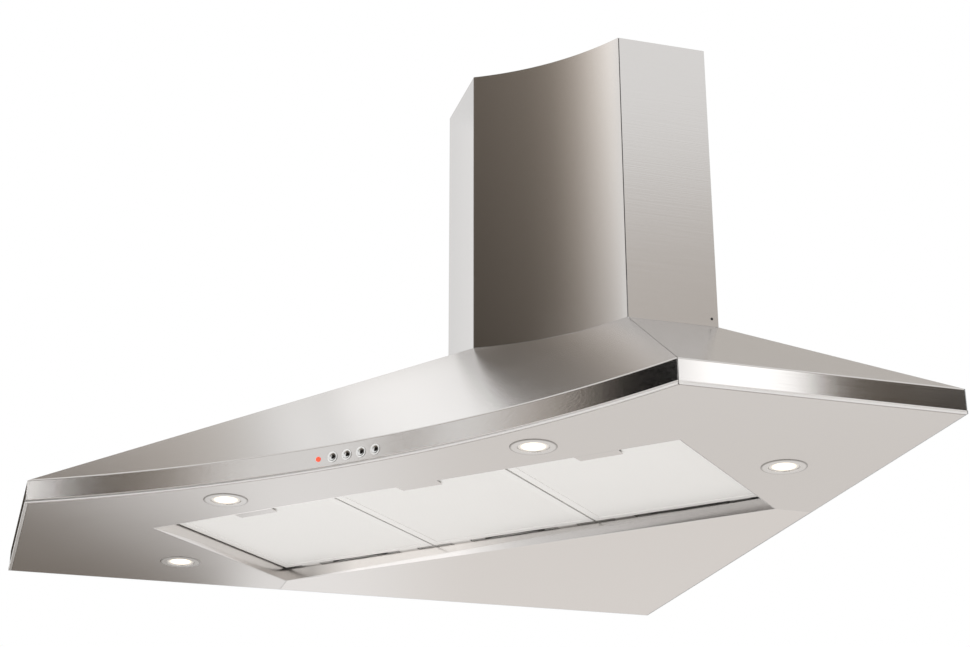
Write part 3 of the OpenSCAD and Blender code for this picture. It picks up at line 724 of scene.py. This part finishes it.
def dome(radius, rise, top, steps=8):
    """Half section of a shallow dome, from its crown down to its rim."""
    ball = (radius**2 + rise**2) / (2 * rise)
    reach = math.asin(radius / ball)
    angles = [reach * k / steps for k in range(steps + 1)]
    return [(ball * math.sin(a), top - ball * (1 - math.cos(a))) for a in angles]


# Domed push-button caps on the band
CAP_R = 0.0048
CAP_RISE = 0.0012
CAP_TOP = 0.0034
CAP_ROOT = -0.0062
CAP_SECTION = [*dome(CAP_R, CAP_RISE, CAP_TOP), (CAP_R, CAP_ROOT), (0.0, CAP_ROOT)]


def button_cap(node):
    """A cap that stands square to the band where the frame has the button."""
    low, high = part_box(node)
    x, y, z = ((a + b) / 2 for a, b in zip(low, high))
    across, back = walls(x, y)
    turn = math.atan2(across, back - band.centre_y)
    r = band.radius + HEM_OUT
    place = mid(r * math.sin(turn), band.centre_y + r * math.cos(turn), z)
    outward = mid(-math.sin(turn), -math.cos(turn))
    spun(node + "_dome", CAP_SECTION, place, outward, button_steel, node + "_cap", [node])


for node in ("button_lamp", "button_stop", "button_slow", "button_fast"):
    button_cap(node)


# Small domed heads on the chimney's two screws
SCREW_Z = (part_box("chimney_screws")[0][2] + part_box("chimney_screws")[1][2]) / 2
SCREW_IN = 0.0106
HEAD_R = 0.0022
HEAD_RISE = 0.0008
HEAD_TOP = 0.0010
SHANK_R = 0.0016
SHANK_END = -0.0048
SCREW_SECTION = [*dome(HEAD_R, HEAD_RISE, HEAD_TOP, 4), (SHANK_R, 0.0), (SHANK_R, SHANK_END), (0.0, SHANK_END)]
screw_right = Vector((CHIMNEY_SIDE, -SCREW_IN, SCREW_Z))
spun("chimney_screw_right", SCREW_SECTION, screw_right, (1, 0, 0), dark_screw, stands_for=["chimney_screws"])
spun("chimney_screw_left", SCREW_SECTION, mirrored(screw_right), (0, -1, 0), dark_screw)


def bars(name, blocks, paint):
    """Straight bars, each from a low to a high corner in the middle frame."""
    bm = bmesh.new()
    for low, high in blocks:
        made = bmesh.ops.create_cube(bm, size=1)["verts"]
        bmesh.ops.scale(bm, vec=[b - a for a, b in zip(low, high)], verts=made)
        bmesh.ops.translate(bm, vec=[(a + b) / 2 for a, b in zip(low, high)], verts=made)
    turn = Matrix.Rotation(math.radians(MIDDLE), 3, "Z")
    bmesh.ops.rotate(bm, cent=(0, 0, 0), matrix=turn, verts=bm.verts)
    to_object(name, bm, paint)


# Strips beside and behind the filters, which close the view past their edges; the strip behind holds painted
# shade
STRIP = 0.0008
REAR_HALF = OPENING_HALF - 0.0009
bars(
    "recess_upstand",
    [
        ((left, OPENING_FRONT, UPSTAND_LOW), (left + STRIP, OPENING_REAR, UPSTAND_HIGH))
        for left in (-OPENING_HALF, OPENING_HALF - STRIP)
    ],
    aluminium,
)
bars(
    "rear_gap_shade_strip",
    [((-REAR_HALF, OPENING_REAR - STRIP, UPSTAND_LOW), (REAR_HALF, OPENING_REAR, UPSTAND_HIGH))],
    gap_shade_strip,
)


# Dark strip behind each upright joint of the chimney, short of its ends: painted shade along the joint
SHADE_STRIP_HALF = 0.0007
SHADE_STRIP_IN = 0.00046
SHADE_STRIP_BACK = 0.0011
SHADE_STRIP_SHORT = 0.0005
corner = flue.point(0.0, 1.0)
shade_strip_x = corner[0] - SHADE_STRIP_IN
shade_strip_y = corner[1] + SHADE_STRIP_BACK
bars(
    "chimney_corner_shade_strips",
    [
        (
            (side * shade_strip_x - SHADE_STRIP_HALF, shade_strip_y - SHADE_STRIP_HALF, SLOPE_TOP + SHADE_STRIP_SHORT),
            (side * shade_strip_x + SHADE_STRIP_HALF, shade_strip_y + SHADE_STRIP_HALF, CHIMNEY_TOP - SHADE_STRIP_SHORT),
        )
        for side in (-1, 1)
    ],
    dark_plastic,
)


# Finish of the nodes that keep their shape
WELD = 0.00002
NODE_ANGLE = 40.0


def dress(node, paint, edge=EDGE_R, segments=2):
    piece = frame["nodes"][node]
    piece.data.materials.clear()
    piece.data.materials.append(paint)
    for face in piece.data.polygons:
        face.material_index = 0
    weld = piece.modifiers.new("weld", "WELD")
    weld.merge_threshold = WELD
    if edge:
        rounded(piece, edge, segments, NODE_ANGLE)


ZINC_NODES = (
    "back_plate_left",
    "back_plate_right",
    "canopy_top_plate",
    "blower_scroll",
    "blower_side_left",
    "blower_side_right",
    "motor_bracket",
    "lamp_housings",
    "chimney_bracket_lower",
    "chimney_bracket_upper",
)
DARK_NODES = (
    "outlet_spigot",
    "control_box",
    "cable_gland",
    "impeller",
    "damper_flap_front",
    "damper_flap_rear",
)
dress("underside_panel", panel_steel)
dress("underside_rear_panel", rear_steel)
dress("filter_recess_frame", recess_steel)
for node in ZINC_NODES:
    dress(node, zinc)
for node in ("frame_nuts", "blower_screws"):
    dress(node, screw_steel)
for node in DARK_NODES:
    dress(node, dark_plastic)
for node in ("junction_box", "capacitor", "lamp_transformer"):
    dress(node, light_plastic, edge=0.0015, segments=3)
dress("motor", motor_enamel, edge=0.002, segments=3)
dress("motor_shaft", shaft_steel)
dress("damper_pin", shaft_steel)
dress("filter_leaf_springs", spring_blue, edge=0.0)
dress("button_bezels", chrome)
dress("indicator_lens", lens_red, edge=0.0006, segments=3)
for side in ("left", "middle", "right"):
    dress("filter_frame_" + side, filter_rim, edge=0.0008, segments=3)
    dress("filter_mesh_" + side, filter_weave)
    dress("filter_latch_" + side, panel_steel, edge=0.0005, segments=3)
for side in ("front_left", "front_right", "rear_left", "rear_right"):
    dress("lamp_bezel_" + side, lamp_rim("lamp_bezel_" + side), edge=0.0004, segments=3)
    dress("lamp_lens_" + side, lit_lens("lamp_lens_" + side), edge=0.0006, segments=3)


# Studio: pale floor, white surroundings, soft lamps, and cards that only the polished metal sees
def white_to_sight(shade, plain_shader):
    """The given shader for light and shadow, plain white for the camera, in gloss and through glass."""
    kinds = ("Is Camera Ray", "Is Glossy Ray", "Is Transmission Ray")
    camera, gloss, glass = (shade.node("ShaderNodeLightPath", out=kind) for kind in kinds)
    seen = camera.maths("MINIMUM", camera + gloss + glass, 1.0)
    white = shade.node("ShaderNodeEmission", inputs={"Color": (1.0, 1.0, 1.0), "Strength": 1.0})
    return shade.node("ShaderNodeMixShader", inputs={0: seen, 1: plain_shader, 2: white})


def flat(name, half=1, height=0.0):
    """A level square for the studio."""
    bm = bmesh.new()
    bmesh.ops.create_grid(bm, x_segments=1, y_segments=1, size=half)
    bmesh.ops.translate(bm, vec=(0, 0, height), verts=bm.verts)
    mesh = bpy.data.meshes.new(name)
    bm.to_mesh(mesh)
    bm.free()
    piece = bpy.data.objects.new(name, mesh)
    scene.collection.objects.link(piece)
    return piece


FLOOR_HALF = 30
FLOOR_Z = -1.25


def floor():
    piece = flat("floor", FLOOR_HALF, FLOOR_Z)
    made, shade = material("floor_paint")
    colour = shade.mix(shade.grain(0.5), (0.80, 0.80, 0.80), (0.82, 0.82, 0.82))
    paint = shade.node("ShaderNodeBsdfDiffuse", inputs={"Color": colour})
    shade.end("ShaderNodeOutputMaterial", white_to_sight(shade, paint))
    piece.data.materials.append(made)


def world():
    made = bpy.data.worlds.new("studio")
    scene.world = made
    shade = Shade(made)
    soft = shade.node("ShaderNodeBackground", inputs={"Color": (0.90, 0.885, 0.86), "Strength": 0.95})
    shade.end("ShaderNodeOutputWorld", white_to_sight(shade, soft))


floor()
world()

CARD_WARMTH = (1.0, 0.84, 0.68)


def card_colour(tone):
    """Grey for a bright tone, and the warmer the darker it is."""
    return tuple(tone * (1 + (part - 1) * max(0.0, 1 - tone)) for part in CARD_WARMTH)


def card(name, place, azimuth, half, tones, soft, roll=0.0, rise=0.0, level=1.0):
    """An upright card with soft edges that faces the hood; its tones run from its left end to its right.

    Half is half its width and height, soft the share of each that fades out, rise how much brighter
    it is at the top than at its middle, and level its brightness there.
    """
    piece = flat(name)
    upright = Matrix.Rotation(math.radians(azimuth - 90), 4, "Z") @ Matrix.Rotation(math.radians(90), 4, "X")
    turn = upright @ Matrix.Rotation(math.radians(roll), 4, "Z")
    piece.matrix_world = Matrix.Translation(place) @ turn @ Matrix.Diagonal((half[0], half[1], 1, 1))
    piece.visible_camera = False
    piece.visible_diffuse = False
    piece.visible_shadow = False
    made, shade = material(name)
    across, up = shade.axes(shade.node("ShaderNodeTexCoord", out="Object"))
    fade = {"interpolation_type": "SMOOTHSTEP"}
    edges = []
    for way, width in ((across, soft[0]), (up, soft[1])):
        inward = 1.0 - shade.node("ShaderNodeMath", {"operation": "ABSOLUTE"}, {0: way})
        edges.append(shade.node("ShaderNodeMapRange", fade, {0: inward, 2: width}))
    tone = shade.ramp(across * 0.5 + 0.5, [(spot, card_colour(tone)) for spot, tone in tones])
    glow = shade.node("ShaderNodeEmission", inputs={"Color": tone, "Strength": up * rise + level})
    clear = shade.node("ShaderNodeBsdfTransparent")
    both = shade.node("ShaderNodeMixShader", inputs={0: edges[0] * edges[1], 1: clear, 2: glow})
    shade.end("ShaderNodeOutputMaterial", both)
    piece.data.materials.append(made)


# Each tone follows its place on the card
CHIMNEY_TONES = [(0.31, 0.125), (0.50, 0.17), (0.60, 0.225), (0.70, 0.36), (0.81, 0.57), (0.96, 0.80)]
CHIMNEY_END_TONES = [(0.0, 0.60), (1.0, 0.66)]
BAND_TONES = [
    (0.0, 2.1), (0.078, 2.0), (0.092, 0.50), (0.105, 0.06), (0.135, 0.08), (0.167, 0.18), (0.211, 0.27),
    (0.244, 0.38), (0.267, 0.52), (0.289, 0.80), (0.311, 0.93), (0.488, 0.99), (0.501, 0.42), (0.527, 0.38),
    (0.547, 1.0), (0.565, 1.0), (0.61, 0.94), (0.644, 0.72), (0.678, 0.53), (0.722, 0.46), (0.756, 0.25),
    (0.778, 0.02), (0.81, 0.0), (1.0, 0.0),
]
BAND_END_TONES = [
    (0.0, 0.03), (0.20, 0.04), (0.25, 0.05), (0.30, 0.08), (0.39, 0.12), (0.49, 0.16), (0.53, 0.18),
    (0.565, 0.52), (0.60, 1.20), (0.65, 1.55), (0.72, 1.70), (0.82, 1.70), (0.88, 1.6), (0.92, 1.2),
]
SLOPE_TONES = [
    (0.0, 0.25), (0.38, 0.33), (0.51, 0.46), (0.607, 0.57), (0.69, 0.70), (0.774, 0.88), (0.81, 1.0),
    (0.857, 1.15), (0.917, 1.2), (1.0, 1.0),
]
SKY_TONES = [
    (0.0, 1.0), (0.23, 1.25), (0.37, 1.40), (0.51, 1.46), (0.65, 1.44), (0.78, 1.28), (0.85, 1.10),
    (0.91, 0.85), (1.0, 0.70),
]
UNDER_RIGHT_TONES = [(0.0, 0.86), (0.4, 0.84), (1.0, 0.80)]


def even(tone):
    return [(0.0, tone), (1.0, tone)]


rising = {"rise": 0.62, "level": 1.253}
card("card_chimney", (1.25, -2.20, 1.95), -60, (1.75, 0.95), CHIMNEY_TONES, (0.10, 0.15), **rising)
card("card_chimney_end", (3.00, 1.10, 1.55), 20, (1.10, 0.85), CHIMNEY_END_TONES, (0.6, 0.9))
card("card_band", (0.95, -2.30, 0.66), -90, (0.45, 0.28), BAND_TONES, (0.06, 0.25))
card("card_camera", (2.92, -2.24, 0.50), -35, (2.10, 1.50), even(0.01), (0.1, 0.1))
card("card_left_end", (-1.20, -1.25, 0.45), 180, (0.35, 0.30), even(0.06), (0.1, 0.2))
card("card_band_end", (3.00, 0.93, 0.80), 0, (0.50, 0.38), BAND_END_TONES, (0.12, 0.25))
card("card_slope", (-0.50, -0.90, 0.85), 180, (0.42, 0.32), SLOPE_TONES, (0.04, 0.2))
card("card_sky", (-1.50, -0.25, 1.75), 180, (0.37, 0.50), SKY_TONES, (0.08, 0.15))
card("card_slope_right", (-1.50, 1.15, 1.55), 180, (0.75, 0.50), even(0.58), (0.15, 0.2))
card("card_under", (-1.20, -1.156, -0.4175), 180, (0.72, 0.40), even(0.19), (0.15, 0.70), roll=25.6)
card("card_under_right", (-1.20, 0.95, -0.55), 180, (1.25, 0.60), UNDER_RIGHT_TONES, (0.3, 0.3))


def soft_lamp(name, place, target, size, power):
    """A square lamp that the camera and the polished metal don't see."""
    data = bpy.data.lights.new(name, "AREA")
    data.shape = "RECTANGLE"
    data.size = size
    data.size_y = size
    data.energy = power
    lamp = bpy.data.objects.new(name, data)
    scene.collection.objects.link(lamp)
    aim = Vector(target) - Vector(place)
    lamp.matrix_world = Matrix.Translation(place) @ aim.to_track_quat("-Z", "Y").to_matrix().to_4x4()
    lamp.visible_camera = False
    lamp.visible_glossy = False


soft_lamp("key", (3.5, -3.5, 2.5), (0.4, -0.4, 0.3), 2.0, 60.0)
soft_lamp("fill", (0.6, -0.6, -1.2), (0.45, -0.45, 0.0), 2.0, 12.0)

scene.view_settings.view_transform = "Standard"
